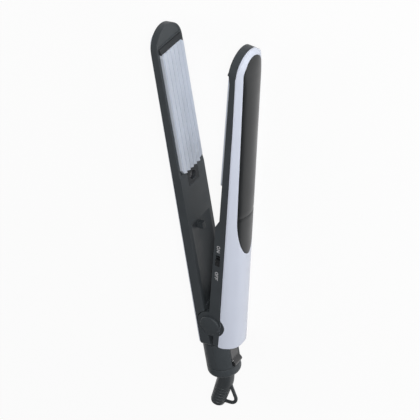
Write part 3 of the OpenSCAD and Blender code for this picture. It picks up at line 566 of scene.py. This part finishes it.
def make_loop():
    """The rubber loop: down from the side of the neck, round, and back into the sleeve."""
    r, turn, a0, a1 = LOOP_R, LOOP_TURN, LOOP_LEAN, radians(90)
    x, y = TAIL_X + 2.6, -NECK_Y - NECK_L - 10.4
    stations = [(x - s * sin(a0), y - s * cos(a0), a0, r) for s in along(0, LOOP_L, 16)]
    x, y = stations[-1][:2]
    cx, cy = x - turn * cos(a0), y + turn * sin(a0)
    stations += [(cx + turn * cos(a), cy - turn * sin(a), a, r)
                 for a in along(a0, a1, 24)[1:]]
    x, y = stations[-1][:2]
    stations += [(x - s * sin(a1), y - s * cos(a1), a1, r)
                 for s in along(0, LOOP_BACK, 8)[1:]]
    shape = Shape(in_row)
    tube(shape, stations, 20)
    shape.make("loop", "relief", "relief_rubber", ["hanging_loop"], sharp=60)


def prism(shape, outline, lo, hi):
    """A prism of an (x, y) outline between two heights along z."""
    shape.grid([[(x, y, lo) for x, y in outline], [(x, y, hi) for x, y in outline]], closed=True)
    shape.fan([(x, y, lo) for x, y in outline])
    shape.fan([(x, y, hi) for x, y in outline])


def block(shape, low, high):
    """A box between two opposite corners."""
    (x0, y0, z0), (x1, y1, z1) = low, high
    prism(shape, [(x0, y0), (x1, y0), (x1, y1), (x0, y1)], z0, z1)


def make_slider():
    """The tail lock: a grip with a hump, and the tongue behind it."""
    g = TAIL_X + TAIL_R - 2.15
    lo, hi = -(TAIL_END - 0.9), -(TAIL_TOP + 4.1)
    hump = [(g, lo), (g + 2.4, lo), (g + 3.2, lo + 0.7), (g + 3.5, lo + 1.8),
            (g + 3.2, lo + 3), (g + 2.2, lo + 4.2), (g + 1, lo + 5.2), (g + 1, hi - 0.5),
            (g + 0.5, hi), (g, hi)]
    shape = Shape(in_row)
    prism(shape, hump, -LOCK_HW, LOCK_HW)
    shape.make("lock_grip", "lock", "gloss_black", ["lock_slider"], bevel=0.3)
    shape = Shape(in_row)
    tongue = TONGUE_REACH - JAW_OFF - 0.3
    inner = (tongue - TONGUE_T, lo + 4.4, -TONGUE_HW)
    block(shape, inner, (g + 0.1, lo + 8.6, TONGUE_HW))
    block(shape, inner, (tongue, 1 - TAIL_TOP, TONGUE_HW))
    shape.make("lock_tongue", "lock", "gloss_black", ["lock_slider"], bevel=0.2)


def make_plate(key):
    """A ridged plate: rounded crests, a fine line along each valley and chamfered ends."""
    n, pitch, back = RIDGES[key], RIDGE_PITCH, VALLEY + PLATE_T
    edge = CREST + 0.1 if n == RIDGES["a"] else VALLEY
    # Half a ridge, crest first: depth, and distance from the crest in pitches.
    falling = [(CREST + 0.02, 0.03), (CREST + 0.12, 0.07), (VALLEY, 0.415),
               (VALLEY + 1.1, 0.43), (VALLEY + 1.3, 0.5)]
    ridge = [(d, -f) for d, f in reversed(falling)] + [(CREST, 0)] + falling
    section = [(back, -PLATE_HW), (edge + 0.25, -PLATE_HW), (edge, -PLATE_HW + 0.2)]
    for k in range(n):
        mid = (k - (n - 1) / 2) * pitch
        points = [(d, mid + f * pitch) for d, f in ridge]
        section += [(d, z) for d, z in points if abs(z) < PLATE_HW - 0.25]
    section += [(edge, PLATE_HW - 0.2), (edge + 0.25, PLATE_HW), (back, PLATE_HW)]
    rows = []
    for low, end in ((0, 0.0), (0, 0.12), (1, 0.12), (1, 0.0)):
        row = []
        for d, z in section:
            cut = max(0.0, abs(z) - PLATE_HW + (2.5, 1.2)[low]) * (1.4, 1.83)[low]
            y = PLATE_FAR - cut - end if low else PLATE_NEAR + cut + end
            lift = 0.12 if end == 0.0 else 0.0
            row.append((min(d + lift, back), y, z))
        rows.append(row)
    shape = Shape(PLACE[key])
    shape.grid(rows, closed=True)
    for row in (rows[0], rows[-1]):
        shape.grid([row, [(back, y, z) for d, y, z in row]])
    shape.make(f"ridged_plate_{key}", ARMS[key]["body"], "plate_coating", [f"plate_{key}"],
               sharp=20)


def make_knob():
    """The switch's knob with its grip ridges."""
    low = SWITCH_Y - KNOB_BACK
    high = low + KNOB_L
    d, wide = KNOB_D, KNOB_HW
    shape = Shape(on_arm_b)
    block(shape, (d - wide, low, HALF - 3), (d + wide, high, HALF - 0.15))
    block(shape, (d - wide, low - 0.6, HALF - WALL - 1.1),
          (d + wide, high + 0.6, HALF - WALL - 0.1))
    for k in range(KNOB_RIBS):
        y = low + 0.2 + k * KNOB_RIB_PITCH
        block(shape, (d - wide, y, HALF - 0.2), (d + wide, y + KNOB_RIB_W, HALF + 0.5))
    shape.make("knob", "switch", "gloss_black", ["switch_knob"], bevel=0.12)


# ---------------------------------------------------------------- stage
def make_world():
    """A dim grey sky that is brighter overhead."""
    world = bpy.data.worlds.new("world")
    bpy.context.scene.world = world
    world.use_nodes = True
    tree = world.node_tree
    sky = tree.nodes["Background"]
    up = node(tree, "ShaderNodeSeparateXYZ")
    tree.links.new(node(tree, "ShaderNodeTexCoord").outputs["Generated"], up.inputs[0])
    tree.links.new(mapped(tree, up.outputs["Z"], 0.15, 1.0, 0.0, 0.7), sky.inputs["Color"])
    sky.inputs["Strength"].default_value = WORLD


def floor_material():
    """Pale floor that shows white to the camera and in reflections, and keeps the shadow."""
    mat, tree, bsdf = principled("floor")
    links = tree.links
    bsdf.inputs["Base Color"].default_value = (0.9, 0.9, 0.9, 1)
    bsdf.inputs["Roughness"].default_value = 0.9
    glow = node(tree, "ShaderNodeEmission", Strength=1.0)
    mix = node(tree, "ShaderNodeMixShader")
    path = node(tree, "ShaderNodeLightPath")
    mirror = node(tree, "ShaderNodeMath", operation="ADD")
    links.new(path.outputs["Is Glossy Ray"], mirror.inputs[0])
    links.new(path.outputs["Is Transmission Ray"], mirror.inputs[1])
    seen = node(tree, "ShaderNodeMath", operation="ADD")
    seen.use_clamp = True
    links.new(path.outputs["Is Camera Ray"], seen.inputs[0])
    links.new(mirror.outputs[0], seen.inputs[1])
    share = node(tree, "ShaderNodeMath", operation="MULTIPLY")
    share.inputs[1].default_value = FLOOR_SHARE
    links.new(seen.outputs[0], share.inputs[0])
    links.new(share.outputs[0], mix.inputs[0])
    links.new(bsdf.outputs[0], mix.inputs[1])
    links.new(glow.outputs[0], mix.inputs[2])
    links.new(mix.outputs[0], tree.nodes["Material Output"].inputs["Surface"])
    return mat


def make_stage():
    bpy.context.scene.view_settings.view_transform = "Standard"
    make_world()
    bpy.ops.mesh.primitive_plane_add(size=8, location=(0, 0, 0))
    ground = bpy.context.object
    ground.name = "floor"
    ground.data.materials.append(floor_material())
    for name, place, watts, size in LAMPS:
        area_light(name, place, AIM, watts, size)


def area_light(name, place, aim, watts, size):
    data = bpy.data.lights.new(name, "AREA")
    data.energy, data.size = watts, size
    obj = bpy.data.objects.new(name, data)
    obj.location = place
    obj.rotation_mode = "QUATERNION"
    obj.rotation_quaternion = (Vector(aim) - Vector(place)).to_track_quat("-Z", "Y")
    bpy.context.collection.objects.link(obj)


make_camera()
make_stage()
MATS = make_materials()
dress_nodes(MATS)
for name in ARMS:
    make_cover(name)
    make_inlay(name, "rear", INLAY_Y0, INLAY_SPLIT - INLAY_GAP)
    make_inlay(name, "front", INLAY_SPLIT + INLAY_GAP, None)
    make_plate(name)
make_hinge_caps()
make_tail_cap()
make_relief()
make_loop()
make_slider()
make_knob()
